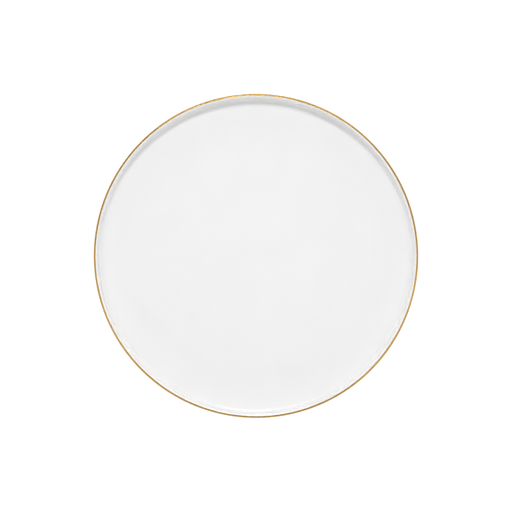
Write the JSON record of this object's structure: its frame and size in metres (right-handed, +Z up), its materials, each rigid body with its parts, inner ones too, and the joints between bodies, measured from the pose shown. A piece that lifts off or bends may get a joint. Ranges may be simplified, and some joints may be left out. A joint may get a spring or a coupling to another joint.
{
  "type": "dinner plate",
  "caption": "Flat round china dinner plate with an upright rim, a foot ring, a clear gloss glaze and a gold line round the lip.",
  "frame": {"origin": "centre of the plate, in the plane that the foot ring stands on", "axes": "+Z up through the plate's turning axis, with the well facing +Z; X and Y lie in the table plane and are alike, because the plate is round"},
  "size_m": [0.27, 0.27, 0.021],
  "materials": {
    "bisque": "unglazed porcelain, fine matt and slightly warm, bare only on the foot ring",
    "glaze": "clear gloss glaze on white porcelain, a neutral white",
    "base_glaze": "clear gloss glaze, a little thinner and less even than on the face",
    "gold": "bright fired gold over the glaze, banded by hand"
  },
  "bodies": {
    "root": {"porcelain_body": "bisque", "glaze_coat": "glaze", "base_glaze": "base_glaze", "gold_rim_line": "gold"}
  },
  "joints": []
}
